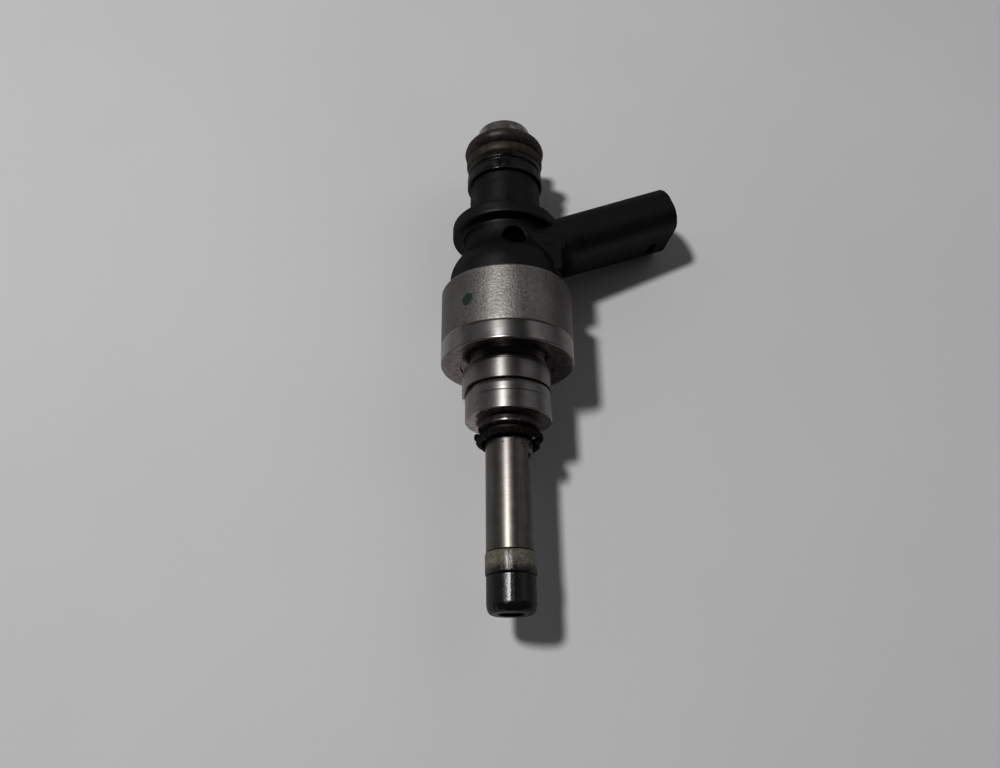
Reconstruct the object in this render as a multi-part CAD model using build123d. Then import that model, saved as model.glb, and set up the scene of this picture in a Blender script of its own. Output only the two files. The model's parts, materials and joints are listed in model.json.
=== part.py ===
from build123d import *
import os

# A direct-injection petrol injector, lying on its side with its connector resting on the bench.
# Millimetres. Every piece is drawn upright, on the Z axis, and laid down at the end.
# Upright frame: z = 0 is the seating face under the case, +z runs towards the fuel inlet,
# -z towards the nozzle tip, and +x is the side that the connector leaves from.

# ---------------------------------------------------------------- driving dimensions
# Nozzle
SHAFT_R = 3.75
TIP_Z = -39.85
TIP_FACE_R = 3.25
TIP_BEVEL_Z = -38.6
NOZZLE_BORE_R = 2.4
NOZZLE_TOP_Z = -3.0
SEAL_R = 3.94
SEAL_IN_R = 3.15
SEAL_LOW_Z = -34.3
SEAL_TOP_Z = -30.85
SEAL_GROOVE_R = 3.12
SEAL_SIDE_PLAY = 0.05

# Seat, ball and needle
BALL_R = 1.55
BALL_Z = -36.9
SEAT_TOP_Z = -37.3
SEAT_RECESS_R = 2.0
SEAT_RECESS_Z = -39.45
SEAT_GAP = 0.01
SAC_R = 0.4
SAC_DEPTH = 0.25
SPRAY_HOLE_R = 0.1
SPRAY_HOLES = 6
SPRAY_TILT = 40
NEEDLE_R = 1.1
NEEDLE_TOP_Z = 9.3
GUIDE_PLAY = 0.05
GUIDE_LOW_Z = -37.2
GUIDE_TOP_Z = -36.0

# Valve body: flange, waist and register
CASE_R = 11.0
FLANGE_H = 3.2
SEAT_RELIEF_R = 7.8
SEAT_RELIEF_D = 0.3
WAIST_R = 6.2
REGISTER_R = 7.0
REGISTER_TOP_Z = -4.86
REGISTER_TOP_R = 6.85
REGISTER_CONE_Z = -5.5
REGISTER_LOW_Z = -9.83
MARK_GROOVE_Z = -6.8
MARK_GROOVE_W = 0.16
MARK_GROOVE_D = 0.1
BOSS_R = 4.9
BOSS_LOW_Z = -11.25
CHAMBER_R = 4.3
CHAMBER_LOW_Z = -1.0
SLEEVE_R = 5.0
SLEEVE_TOP_Z = 5.0
EDGE = 0.25

# Loose rings on the valve body
SUPPORT_RING_R = 7.26
SUPPORT_RING_IN_R = 6.6
SUPPORT_RING_LOW_Z = -4.75
SUPPORT_RING_TOP_Z = -1.45
SUPPORT_RING_SHIFT = -0.25
SUPPORT_RING_GAP = 0.9
SUPPORT_RING_GAP_ANGLE = 90
SUPPORT_TAB_LOW_Z = -5.4
SUPPORT_TAB_WALL = 0.18
SUPPORT_TAB_SPAN = 50
SNAP_WIRE_R = 0.57
SNAP_LOW_R = 4.45
SNAP_LOW_Z = -13.6
SNAP_PITCH = 1.17
SNAP_TURNS = 1.45
SNAP_CONE = 21.5

# Magnet circuit
CASE_TOP_Z = 13.17
CASE_WALL = 1.2
PLATE_LOW_Z = 12.1
PLATE_TOP_Z = 13.0
BOBBIN_LOW_Z = 3.6
BOBBIN_TOP_Z = 12.0
BOBBIN_CHEEK = 0.8
BOBBIN_CORE_R = 5.9
BOBBIN_R = 9.6
WINDING_R = 9.2
ISOLATOR_TOP_Z = 9.0
ARMATURE_R = 4.25
ARMATURE_LOW_Z = 1.6
ARMATURE_TOP_Z = 8.0
ARMATURE_BORE_R = 1.15
POLE_LOW_Z = 8.12
POLE_TOP_Z = 20.0
POLE_BORE_R = 1.9
FLOW_HOLE_R = 0.5
FLOW_HOLE_PCD_R = 2.7
FLOW_HOLES = 4

# Stops and springs
UPPER_STOP_R = 1.8
UPPER_STOP_LOW_Z = 8.045
UPPER_STOP_TOP_Z = 9.8
LOWER_STOP_R = 1.9
LOWER_STOP_LOW_Z = 0.7
LOWER_STOP_TOP_Z = 1.58
CALIBRATION_LOW_Z = 17.0
CALIBRATION_TOP_Z = 19.6
CALIBRATION_BORE_R = 1.1
RETURN_SPRING_R = 1.4
RETURN_WIRE_R = 0.22
RETURN_LOW_Z = 9.92
RETURN_TOP_Z = 16.95
RETURN_PITCH = 0.85
ARMATURE_SPRING_R = 3.3
ARMATURE_WIRE_R = 0.18
ARMATURE_SPRING_LOW_Z = -0.08
ARMATURE_SPRING_TOP_Z = 1.5
ARMATURE_SPRING_PITCH = 0.6
UPPER_GUIDE_TOP_Z = -0.1

# Moulded body
SHOULDER_R = 9.65
SHOULDER_TOP_Z = 17.2
BARREL_R = 7.3
BARREL_LOW_Z = 20.9
COLLAR_R = 9.25
COLLAR_LOW_Z = 24.4
COLLAR_TOP_Z = 26.9
NECK_R = 6.2
NECK_TOP_Z = 35.3
POCKET_R = 2.0
POCKET_Z = 20.9
POCKET_FLOOR_R = 5.0
POCKET_TURN = 2.4

# Connector
CONNECTOR_TILT = 21.6
CONNECTOR_FOOT_Z = 19.86
CONNECTOR_ROOT = 8.0
CONNECTOR_END = 31.1
ROOT_W = 11.6
ROOT_H = 8.6
MOUTH_W = 13.15
MOUTH_H = 8.3
CONNECTOR_ROUND = 0.44
CONNECTOR_WALL = 1.15
SOCKET_DEPTH = 9.0
BLOCK_X = 9.15
BLOCK_W = 13.0
BLOCK_LOW_Z = 15.5
BLOCK_TOP_Z = 22.6
WINDOW_BACK = 3.4
WINDOW_LEN = 1.5
WINDOW_W = 4.2
WINDOW_SIDE = 2.4
NUB_BACK = 5.7
NUB_LEN = 1.3
NUB_W = 5.0
NUB_H = 0.8
PIN_W = 2.8
PIN_T = 0.8
PIN_SPACING = 5.0
PIN_RISE_X = 7.6
PIN_FOOT_Z = 12.05
PIN_TIP_BACK = 2.0

# Inlet
TUBE_LOW_R = 5.0
TUBE_R = 4.2
TUBE_STEP_Z = 24.0
RIM_R = 4.8
RIM_LOW_Z = 44.6
RIM_TOP_Z = 47.4
RIM_BEVEL = 0.55
FILTER_BORE_R = 3.2
FILTER_BORE_LOW_Z = 35.6
FUEL_BORE_R = 2.2
SPACER_R = 6.7
SPACER_UPPER_R = 6.6
SPACER_GROOVE_R = 6.3
SPACER_TOP_Z = 39.2
BACKUP_R = 6.85
BACKUP_LOW_Z = 39.25
BACKUP_TOP_Z = 41.3
O_RING_MEAN_R = 5.73
O_RING_WIRE_R = 1.46
O_RING_Z = 42.9
RING_BORE_R = 4.25

# How the injector lies: rolled until the connector touches the bench
ROLL = 8.9


# ---------------------------------------------------------------- helpers
def turned(*outline):
    """A solid of revolution about Z from (radius, z) points in order."""
    section = Plane.XZ * make_face(Polyline(*outline, close=True))
    return revolve(section, Axis.Z)


def ring(inner_r, outer_r, low_z, top_z, bevel=0.0):
    """A plain ring, with its two outer edges bevelled if asked."""
    if not bevel:
        return turned((inner_r, low_z), (outer_r, low_z), (outer_r, top_z), (inner_r, top_z))
    return turned(
        (inner_r, low_z),
        (outer_r - bevel, low_z),
        (outer_r, low_z + bevel),
        (outer_r, top_z - bevel),
        (outer_r - bevel, top_z),
        (inner_r, top_z),
    )


def rod(radius, low_z, top_z):
    """A solid cylinder on the Z axis between two heights."""
    return Pos(0, 0, low_z) * Cylinder(
        radius, top_z - low_z, align=(Align.CENTER, Align.CENTER, Align.MIN)
    )


def around(count, shape):
    """One shape repeated evenly about the Z axis."""
    return [Rot(0, 0, 360 * i / count) * shape for i in range(count)]


def coil(mean_r, wire_r, low_z, top_z, pitch):
    """A round-wire coil spring whose wire stays between two heights."""
    low = low_z + wire_r
    height = top_z - low_z - 2 * wire_r
    path = Pos(0, 0, low) * Helix(pitch, height, mean_r)
    section = Plane(origin=path @ 0, z_dir=path % 0) * Circle(wire_r)
    return sweep(section, path=path, is_frenet=True)


# ---------------------------------------------------------------- nozzle and valve
def make_nozzle_body():
    groove_low = SEAL_LOW_Z - SEAL_SIDE_PLAY
    groove_top = SEAL_TOP_Z + SEAL_SIDE_PLAY
    return turned(
        (NOZZLE_BORE_R, TIP_Z),
        (TIP_FACE_R, TIP_Z),
        (SHAFT_R, TIP_BEVEL_Z),
        (SHAFT_R, groove_low),
        (SEAL_GROOVE_R, groove_low),
        (SEAL_GROOVE_R, groove_top),
        (SHAFT_R, groove_top),
        (SHAFT_R, NOZZLE_TOP_Z),
        (NOZZLE_BORE_R, NOZZLE_TOP_Z),
    )


def make_combustion_seal():
    return ring(SEAL_IN_R, SEAL_R, SEAL_LOW_Z, SEAL_TOP_Z)


def make_valve_seat():
    # The 45-degree cone touches the ball along a circle, less a hair of clearance.
    apex_z = BALL_Z - (BALL_R + SEAT_GAP) * 2 ** 0.5
    sac_top_z = apex_z + SAC_R
    cone_top_r = SEAT_TOP_Z - apex_z
    seat = turned(
        (0, sac_top_z - SAC_DEPTH),
        (0, SEAT_RECESS_Z),
        (SEAT_RECESS_R, SEAT_RECESS_Z),
        (SEAT_RECESS_R, TIP_Z),
        (NOZZLE_BORE_R, TIP_Z),
        (NOZZLE_BORE_R, SEAT_TOP_Z),
        (cone_top_r, SEAT_TOP_Z),
        (SAC_R, sac_top_z),
        (SAC_R, sac_top_z - SAC_DEPTH),
    )
    hole = Cylinder(SPRAY_HOLE_R, 3, align=(Align.CENTER, Align.CENTER, Align.MAX))
    tilted = Pos(0, 0, sac_top_z) * Rot(0, SPRAY_TILT, 0) * hole
    return seat - around(SPRAY_HOLES, tilted)


def make_needle_guide():
    disc = ring(BALL_R + GUIDE_PLAY, NOZZLE_BORE_R, GUIDE_LOW_Z, GUIDE_TOP_Z)
    notch = Pos(BALL_R + GUIDE_PLAY, 0, 0) * rod(FLOW_HOLE_R, GUIDE_LOW_Z - 1, GUIDE_TOP_Z + 1)
    return disc - around(FLOW_HOLES, notch)


def make_valve_ball():
    return Pos(0, 0, BALL_Z) * Sphere(BALL_R) - rod(NEEDLE_R, BALL_Z, BALL_Z + 2 * BALL_R)


def make_valve_needle():
    return rod(NEEDLE_R, BALL_Z, NEEDLE_TOP_Z)


def make_upper_guide():
    disc = ring(NEEDLE_R + GUIDE_PLAY, CHAMBER_R, CHAMBER_LOW_Z, UPPER_GUIDE_TOP_Z)
    hole = Pos(NOZZLE_BORE_R - FLOW_HOLE_R, 0, 0) * rod(FLOW_HOLE_R * 0.8, CHAMBER_LOW_Z - 1, 1)
    return disc - around(FLOW_HOLES, hole)


def make_valve_body():
    """Its seating face stops at a shallow relief, so that a mating ring clears the support ring."""
    mark_low = MARK_GROOVE_Z - MARK_GROOVE_W / 2
    mark_top = MARK_GROOVE_Z + MARK_GROOVE_W / 2
    return turned(
        (SHAFT_R, BOSS_LOW_Z),
        (BOSS_R, BOSS_LOW_Z),
        (BOSS_R, REGISTER_LOW_Z),
        (REGISTER_R - EDGE, REGISTER_LOW_Z),
        (REGISTER_R, REGISTER_LOW_Z + EDGE),
        (REGISTER_R, mark_low),
        (REGISTER_R - MARK_GROOVE_D, mark_low),
        (REGISTER_R - MARK_GROOVE_D, mark_top),
        (REGISTER_R, mark_top),
        (REGISTER_R, REGISTER_CONE_Z),
        (REGISTER_TOP_R, REGISTER_TOP_Z),
        (WAIST_R, REGISTER_TOP_Z),
        (WAIST_R, SEAT_RELIEF_D),
        (SEAT_RELIEF_R, SEAT_RELIEF_D),
        (SEAT_RELIEF_R, 0),
        (CASE_R - EDGE, 0),
        (CASE_R, EDGE),
        (CASE_R, FLANGE_H),
        (SLEEVE_R, FLANGE_H),
        (SLEEVE_R, SLEEVE_TOP_Z),
        (CHAMBER_R, SLEEVE_TOP_Z),
        (CHAMBER_R, CHAMBER_LOW_Z),
        (NOZZLE_BORE_R, CHAMBER_LOW_Z),
        (NOZZLE_BORE_R, NOZZLE_TOP_Z),
        (SHAFT_R, NOZZLE_TOP_Z),
    )


# ---------------------------------------------------------------- loose rings
def make_support_ring():
    """A split ring with play on the waist; a thin tab hangs down over the register."""
    hoop = ring(
        SUPPORT_RING_IN_R, SUPPORT_RING_R, SUPPORT_RING_LOW_Z, SUPPORT_RING_TOP_Z, EDGE / 2
    )
    height = SUPPORT_RING_TOP_Z - SUPPORT_RING_LOW_Z
    slit = Pos(SUPPORT_RING_R, 0, SUPPORT_RING_LOW_Z + height / 2) * Box(
        4, SUPPORT_RING_GAP, 2 * height
    )
    tab = revolve(
        Plane.XZ
        * Pos(SUPPORT_RING_R - SUPPORT_TAB_WALL / 2, (SUPPORT_TAB_LOW_Z + SUPPORT_RING_LOW_Z + 1) / 2)
        * Rectangle(SUPPORT_TAB_WALL, SUPPORT_RING_LOW_Z + 1 - SUPPORT_TAB_LOW_Z),
        Axis.Z,
        SUPPORT_TAB_SPAN,
    )
    tab = Rot(0, 0, 180 - SUPPORT_TAB_SPAN / 2) * tab
    split = hoop - Rot(0, 0, SUPPORT_RING_GAP_ANGLE) * slit
    return Pos(SUPPORT_RING_SHIFT, 0, 0) * (split + tab)


def make_wire_snap_ring():
    """A round wire wound about one and a half turns, wider at the top."""
    path = Pos(0, 0, SNAP_LOW_Z) * Helix(
        SNAP_PITCH, SNAP_PITCH * SNAP_TURNS, SNAP_LOW_R, cone_angle=SNAP_CONE
    )
    section = Plane(origin=path @ 0, z_dir=path % 0) * Circle(SNAP_WIRE_R)
    return sweep(section, path=path, is_frenet=True)


# ---------------------------------------------------------------- magnet circuit
def make_magnet_case():
    return ring(CASE_R - CASE_WALL, CASE_R, FLANGE_H, CASE_TOP_Z)


def make_cover_plate():
    plate = ring(SLEEVE_R, CASE_R - CASE_WALL, PLATE_LOW_Z, PLATE_TOP_Z)
    width = PIN_SPACING + PIN_W + 1.0
    slot = Pos(PIN_RISE_X, 0, PLATE_LOW_Z) * Box(PIN_T + 1.4, width, 3)
    return plate - slot


def make_coil_bobbin():
    spool = turned(
        (SLEEVE_R, BOBBIN_LOW_Z),
        (BOBBIN_R, BOBBIN_LOW_Z),
        (BOBBIN_R, BOBBIN_LOW_Z + BOBBIN_CHEEK),
        (BOBBIN_CORE_R, BOBBIN_LOW_Z + BOBBIN_CHEEK),
        (BOBBIN_CORE_R, BOBBIN_TOP_Z - BOBBIN_CHEEK),
        (BOBBIN_R, BOBBIN_TOP_Z - BOBBIN_CHEEK),
        (BOBBIN_R, BOBBIN_TOP_Z),
        (SLEEVE_R, BOBBIN_TOP_Z),
    )
    return spool


def make_coil_winding():
    return ring(
        BOBBIN_CORE_R, WINDING_R, BOBBIN_LOW_Z + BOBBIN_CHEEK, BOBBIN_TOP_Z - BOBBIN_CHEEK
    )


def make_isolating_ring():
    return ring(CHAMBER_R, SLEEVE_R, SLEEVE_TOP_Z, ISOLATOR_TOP_Z)


def make_armature():
    slug = ring(ARMATURE_BORE_R, ARMATURE_R, ARMATURE_LOW_Z, ARMATURE_TOP_Z, EDGE)
    hole = Pos(FLOW_HOLE_PCD_R, 0, 0) * rod(FLOW_HOLE_R, ARMATURE_LOW_Z - 1, ARMATURE_TOP_Z + 1)
    return slug - around(FLOW_HOLES, hole)


def make_pole_core():
    return ring(POLE_BORE_R, CHAMBER_R, POLE_LOW_Z, POLE_TOP_Z)


# ---------------------------------------------------------------- stops and springs
def make_upper_stop_ring():
    return ring(NEEDLE_R, UPPER_STOP_R, UPPER_STOP_LOW_Z, UPPER_STOP_TOP_Z)


def make_lower_stop_ring():
    return ring(NEEDLE_R, LOWER_STOP_R, LOWER_STOP_LOW_Z, LOWER_STOP_TOP_Z)


def make_calibration_sleeve():
    return ring(CALIBRATION_BORE_R, POLE_BORE_R, CALIBRATION_LOW_Z, CALIBRATION_TOP_Z)


def make_return_spring():
    return coil(RETURN_SPRING_R, RETURN_WIRE_R, RETURN_LOW_Z, RETURN_TOP_Z, RETURN_PITCH)


def make_armature_spring():
    return coil(
        ARMATURE_SPRING_R,
        ARMATURE_WIRE_R,
        ARMATURE_SPRING_LOW_Z,
        ARMATURE_SPRING_TOP_Z,
        ARMATURE_SPRING_PITCH,
    )


# ---------------------------------------------------------------- inlet
def make_inlet_tube():
    return turned(
        (CHAMBER_R, ISOLATOR_TOP_Z),
        (TUBE_LOW_R, ISOLATOR_TOP_Z),
        (TUBE_LOW_R, TUBE_STEP_Z),
        (TUBE_R, TUBE_STEP_Z),
        (TUBE_R, RIM_LOW_Z),
        (RIM_R, RIM_LOW_Z),
        (RIM_R, RIM_TOP_Z - RIM_BEVEL),
        (RIM_R - RIM_BEVEL, RIM_TOP_Z),
        (FILTER_BORE_R, RIM_TOP_Z),
        (FILTER_BORE_R, FILTER_BORE_LOW_Z),
        (FUEL_BORE_R, FILTER_BORE_LOW_Z),
        (FUEL_BORE_R, POLE_TOP_Z),
        (CHAMBER_R, POLE_TOP_Z),
    )


def make_filter_frame():
    """A press-in ring carrying three ribs and an end cap."""
    top = RIM_TOP_Z - 0.5
    ring_low = top - 1.5
    cap_top = FILTER_BORE_LOW_Z + 1.2
    crown = ring(2.35, FILTER_BORE_R, ring_low, top)
    cap = rod(2.8, cap_top - 0.8, cap_top)
    rib = Pos(2.6, 0, (cap_top + ring_low) / 2) * Box(0.5, 0.7, ring_low - cap_top)
    frame = crown + cap
    for one in around(3, rib):
        frame = frame + one
    return frame


def make_filter_mesh():
    return ring(2.1, 2.3, FILTER_BORE_LOW_Z + 1.2, RIM_TOP_Z - 2.0)


def make_o_ring():
    return Pos(0, 0, O_RING_Z) * Torus(O_RING_MEAN_R, O_RING_WIRE_R)


def make_backup_ring():
    return ring(RING_BORE_R, BACKUP_R, BACKUP_LOW_Z, BACKUP_TOP_Z, EDGE)


def make_spacer_ring():
    height = SPACER_TOP_Z - NECK_TOP_Z
    groove_low = NECK_TOP_Z + 0.5 * height
    groove_top = NECK_TOP_Z + 0.68 * height
    return turned(
        (RING_BORE_R, NECK_TOP_Z),
        (SPACER_R, NECK_TOP_Z),
        (SPACER_R, groove_low),
        (SPACER_GROOVE_R, groove_low),
        (SPACER_GROOVE_R, groove_top),
        (SPACER_UPPER_R, groove_top),
        (SPACER_UPPER_R, SPACER_TOP_Z),
        (RING_BORE_R, SPACER_TOP_Z),
    )


# ---------------------------------------------------------------- moulded body and connector
def connector_frame():
    """Upright frame to connector frame: z along the connector, x across it, y its long side."""
    return Pos(0, 0, CONNECTOR_FOOT_Z) * Rot(0, 90 - CONNECTOR_TILT, 0)


def oval(height, width, distance):
    """The connector's rounded section at a distance along its axis."""
    corner = min(height, width) * CONNECTOR_ROUND
    return Pos(0, 0, distance) * RectangleRounded(height, width, corner)


def make_connector_shell():
    outer = loft([oval(ROOT_H, ROOT_W, CONNECTOR_ROOT), oval(MOUTH_H, MOUTH_W, CONNECTOR_END)])
    stub = extrude(oval(ROOT_H, ROOT_W, CONNECTOR_ROOT), -CONNECTOR_ROOT)
    nub = Pos(-MOUTH_H / 2, 0, CONNECTOR_END - NUB_BACK) * Box(2 * NUB_H, NUB_W, NUB_LEN)
    return outer + stub + nub


def make_socket():
    inner = extrude(
        oval(MOUTH_H - 2 * CONNECTOR_WALL, MOUTH_W - 2 * CONNECTOR_WALL, CONNECTOR_END),
        -SOCKET_DEPTH,
    )
    window = Pos(MOUTH_H / 2, WINDOW_SIDE, CONNECTOR_END - WINDOW_BACK) * Box(
        4, WINDOW_W, WINDOW_LEN
    )
    return inner + window


def make_terminal_pins():
    """Two flat blades that rise from the coil and turn out along the connector."""
    tilt = Vector(1, 0, 0).rotate(Axis.Y, -CONNECTOR_TILT)
    along = CONNECTOR_END - PIN_TIP_BACK
    bend = Vector(PIN_RISE_X, 0, CONNECTOR_FOOT_Z + PIN_RISE_X * tilt.Z / tilt.X)
    tip = Vector(0, 0, CONNECTOR_FOOT_Z) + tilt * along
    line = Polyline((PIN_RISE_X, 0, PIN_FOOT_Z), bend, tip)
    section = Plane(origin=line @ 0, z_dir=(0, 0, 1)) * Rectangle(PIN_T, PIN_W)
    blade = sweep(section, path=line, transition=Transition.RIGHT)
    half = PIN_SPACING / 2
    return Compound(children=[Pos(0, -half, 0) * blade, Pos(0, half, 0) * blade])


def make_moulded_body():
    outline = turned(
        (TUBE_LOW_R, PLATE_TOP_Z),
        (SHOULDER_R, PLATE_TOP_Z),
        (SHOULDER_R, SHOULDER_TOP_Z),
        (BARREL_R, BARREL_LOW_Z),
        (BARREL_R, COLLAR_LOW_Z),
        (COLLAR_R - EDGE, COLLAR_LOW_Z),
        (COLLAR_R, COLLAR_LOW_Z + EDGE),
        (COLLAR_R, COLLAR_TOP_Z - EDGE),
        (COLLAR_R - EDGE, COLLAR_TOP_Z),
        (NECK_R, COLLAR_TOP_Z),
        (NECK_R, NECK_TOP_Z),
        (TUBE_R, NECK_TOP_Z),
        (TUBE_R, TUBE_STEP_Z),
        (TUBE_LOW_R, TUBE_STEP_Z),
    )
    height = BLOCK_TOP_Z - BLOCK_LOW_Z
    block = Pos(BLOCK_X / 2, 0, BLOCK_LOW_Z + height / 2) * Box(BLOCK_X, BLOCK_W, height)
    body = outline + block + connector_frame() * make_connector_shell()
    body = body - rod(TUBE_LOW_R, PLATE_LOW_Z, TUBE_STEP_Z) - rod(TUBE_R, 0, RIM_TOP_Z)
    body = body - connector_frame() * make_socket()
    pocket = Pos(0, -POCKET_FLOOR_R, POCKET_Z) * Rot(90, 0, 0) * Cylinder(
        POCKET_R, 10, align=(Align.CENTER, Align.CENTER, Align.MIN)
    )
    pocket = Rot(0, 0, POCKET_TURN) * pocket
    return body - pocket - make_terminal_pins()


# ---------------------------------------------------------------- laying down and writing
MAKERS = {
    "nozzle_body": make_nozzle_body,
    "combustion_seal": make_combustion_seal,
    "valve_seat": make_valve_seat,
    "needle_guide": make_needle_guide,
    "valve_ball": make_valve_ball,
    "valve_needle": make_valve_needle,
    "upper_guide": make_upper_guide,
    "valve_body": make_valve_body,
    "support_ring": make_support_ring,
    "wire_snap_ring": make_wire_snap_ring,
    "magnet_case": make_magnet_case,
    "cover_plate": make_cover_plate,
    "coil_bobbin": make_coil_bobbin,
    "coil_winding": make_coil_winding,
    "isolating_ring": make_isolating_ring,
    "armature": make_armature,
    "pole_core": make_pole_core,
    "upper_stop_ring": make_upper_stop_ring,
    "lower_stop_ring": make_lower_stop_ring,
    "calibration_sleeve": make_calibration_sleeve,
    "return_spring": make_return_spring,
    "armature_spring": make_armature_spring,
    "inlet_tube": make_inlet_tube,
    "filter_frame": make_filter_frame,
    "filter_mesh": make_filter_mesh,
    "o_ring": make_o_ring,
    "backup_ring": make_backup_ring,
    "spacer_ring": make_spacer_ring,
    "moulded_body": make_moulded_body,
    "terminal_pins": make_terminal_pins,
}

# Upright z becomes +Y on the bench; the roll then lowers the connector.
LAID_DOWN = Rot(0, ROLL, 0) * Rot(-90, 0, 0)

os.makedirs("parts", exist_ok=True)
for name, make in MAKERS.items():
    export_step(LAID_DOWN * make(), f"parts/{name}.step")
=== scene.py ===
"""The looks of a direct-injection petrol injector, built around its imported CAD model."""

import json
import math
import random

import bmesh
import bpy
from mathutils import Matrix, Vector, noise


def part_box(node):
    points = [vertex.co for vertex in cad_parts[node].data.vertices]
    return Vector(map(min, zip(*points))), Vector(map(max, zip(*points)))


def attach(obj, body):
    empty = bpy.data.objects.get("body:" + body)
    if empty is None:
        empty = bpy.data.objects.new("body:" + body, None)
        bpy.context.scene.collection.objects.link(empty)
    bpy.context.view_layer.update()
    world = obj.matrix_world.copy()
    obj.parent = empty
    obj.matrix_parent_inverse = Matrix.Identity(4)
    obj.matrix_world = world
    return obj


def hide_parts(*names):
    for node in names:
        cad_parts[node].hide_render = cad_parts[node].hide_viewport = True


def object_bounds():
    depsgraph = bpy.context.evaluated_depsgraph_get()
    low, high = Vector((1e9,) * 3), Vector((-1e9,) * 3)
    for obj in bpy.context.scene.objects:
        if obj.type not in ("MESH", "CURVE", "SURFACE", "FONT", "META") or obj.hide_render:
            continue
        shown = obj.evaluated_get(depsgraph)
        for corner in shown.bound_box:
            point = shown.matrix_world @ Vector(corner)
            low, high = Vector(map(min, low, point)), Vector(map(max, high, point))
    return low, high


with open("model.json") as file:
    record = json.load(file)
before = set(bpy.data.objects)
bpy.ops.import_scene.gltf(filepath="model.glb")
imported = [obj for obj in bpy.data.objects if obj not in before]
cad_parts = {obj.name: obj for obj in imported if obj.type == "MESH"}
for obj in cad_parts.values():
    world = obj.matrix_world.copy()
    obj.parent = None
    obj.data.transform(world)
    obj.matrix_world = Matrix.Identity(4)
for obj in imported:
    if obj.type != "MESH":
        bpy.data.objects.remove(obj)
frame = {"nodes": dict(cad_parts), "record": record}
cad_low, cad_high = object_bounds()

# Lengths below are in millimetres; MM turns them into the scene's metres
MM = 0.001

# Faces round a turned piece
STEPS = 160

# Moulded body
NECK_R = 6.2
COLLAR_R = 9.25
COLLAR_LOW = 24.4
COLLAR_TOP = 26.9
BARREL_R = 7.3
BARREL_LOW = 20.9
SHOULDER_R = 9.65
SHOULDER_TOP = 17.2
BODY_BORE_R = 4.9
POCKET_R = 2.0
POCKET_Y = 20.9
POCKET_FLOOR_R = 5.45
POCKET_TURN = math.radians(2.4)
BLOCK_IN = 3.0
BLOCK_OUT = 9.15
BLOCK_HALF_W = 6.5
BLOCK_LOW = 15.5
BLOCK_TOP = 22.6
ROOT_DISTANCE = 8.0
ROOT_H, ROOT_W = 8.6, 11.6
MOUTH_H, MOUTH_W = 8.3, 13.15
ROUNDNESS = 0.44
WINDOW_BACK, WINDOW_LEN, WINDOW_W, WINDOW_SIDE = 3.4, 1.5, 4.2, 2.4
NUB_BACK, NUB_LEN, NUB_W, NUB_H = 5.7, 1.3, 5.0, 0.8
SOCKET_WALL = 1.15
SOCKET_DEPTH = 9.0
VOXEL = 0.17

# Steel case and valve body
CASE_WALL = 1.2
WAIST_R = 6.2
REGISTER_R = 7.0
REGISTER_TOP_R = 6.85
REGISTER_TOP = -4.86
REGISTER_CONE = -5.5
REGISTER_LOW = -9.83
MARK_GROOVE = -6.8
BOSS_R = 4.9
FLANGE_H = 3.2
RELIEF_R = 7.8
RELIEF_DEPTH = 0.3
SLEEVE_R = 5.0
SLEEVE_TOP = 5.0
CHAMBER_R = 4.3
CHAMBER_LOW = -1.0

# Support ring: a split ring that lies to one side, with a tab that hangs over the register
SUPPORT_IN_R = 6.6
SUPPORT_LOW = -4.75
RING_SHIFT = 0.25
SLIT_W = 0.9
TAB_T, TAB_TOP_T = 0.46, 0.58
TAB_FROM, TAB_TO = math.radians(155), math.radians(205)
TAB_FADE = 0.2

# Nozzle and its seal
NOZZLE_BORE_R = 2.4
NOZZLE_SEAT = -3.0
SEAL_GROOVE_R = 3.12
SEAL_IN_R = 3.15
SEAL_PLAY = 0.05

# Wire ring at the nozzle's root
WIRE_R = 0.57
WIRE_LOW_R, WIRE_HIGH_R = 4.45, 5.12
WIRE_TURNS = 1.45

# Inlet
TUBE_LOW_R = 5.0
TUBE_STEP = 24.0
TUBE_R = 4.2
FUEL_BORE_R = 2.2
FILTER_BORE_R = 3.2
FILTER_LOW = 35.6
POLE_TOP = 20.0
RIM_R = 4.8
RIM_LOW = 44.6
RING_IN_R = 4.25

# How the injector lies: its connector's mount gives the roll about its axis
MOUNTS = {mount["name"]: mount for mount in frame["record"]["mounts"]}
OUTWARD = Vector(MOUNTS["electrical_socket"]["axis"])
MOUTH = Vector(MOUNTS["electrical_socket"]["pos_m"]) / MM
ROLL = math.atan2(-OUTWARD.z, OUTWARD.x)


def reach(node):
    """(lowest y, highest y, radius) of a turned CAD node."""
    low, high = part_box(node)
    return low.y / MM, high.y / MM, (high.x - low.x) / 2 / MM


# ---- mesh helpers
def outward(bm):
    """Turns the faces of closed shapes outwards; the normals have to be fresh for that."""
    bm.normal_update()
    bmesh.ops.recalc_face_normals(bm, faces=bm.faces)


def finish_mesh(name, bm, sharp=35):
    """Turns a bmesh in millimetres into a smooth-shaded object in metres."""
    outward(bm)
    bmesh.ops.scale(bm, vec=(MM, MM, MM), verts=bm.verts)
    mesh = bpy.data.meshes.new(name)
    bm.to_mesh(mesh)
    bm.free()
    mesh.polygons.foreach_set("use_smooth", [True] * len(mesh.polygons))
    mesh.set_sharp_from_angle(angle=math.radians(sharp))
    piece = bpy.data.objects.new(name, mesh)
    bpy.context.scene.collection.objects.link(piece)
    return piece


def rounded(corners, steps=5):
    """A closed outline in which each corner (radius, y, rounding) becomes a small curve."""
    points = []
    for i, (radius, y, rounding) in enumerate(corners):
        here = Vector((radius, y))
        if not rounding:
            points.append(here)
            continue
        start = here + (Vector(corners[i - 1][:2]) - here).normalized() * rounding
        end = here + (Vector(corners[(i + 1) % len(corners)][:2]) - here).normalized() * rounding
        for k in range(steps + 1):
            t = k / steps
            points.append(start.lerp(here, t).lerp(here.lerp(end, t), t))
    return points


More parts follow.
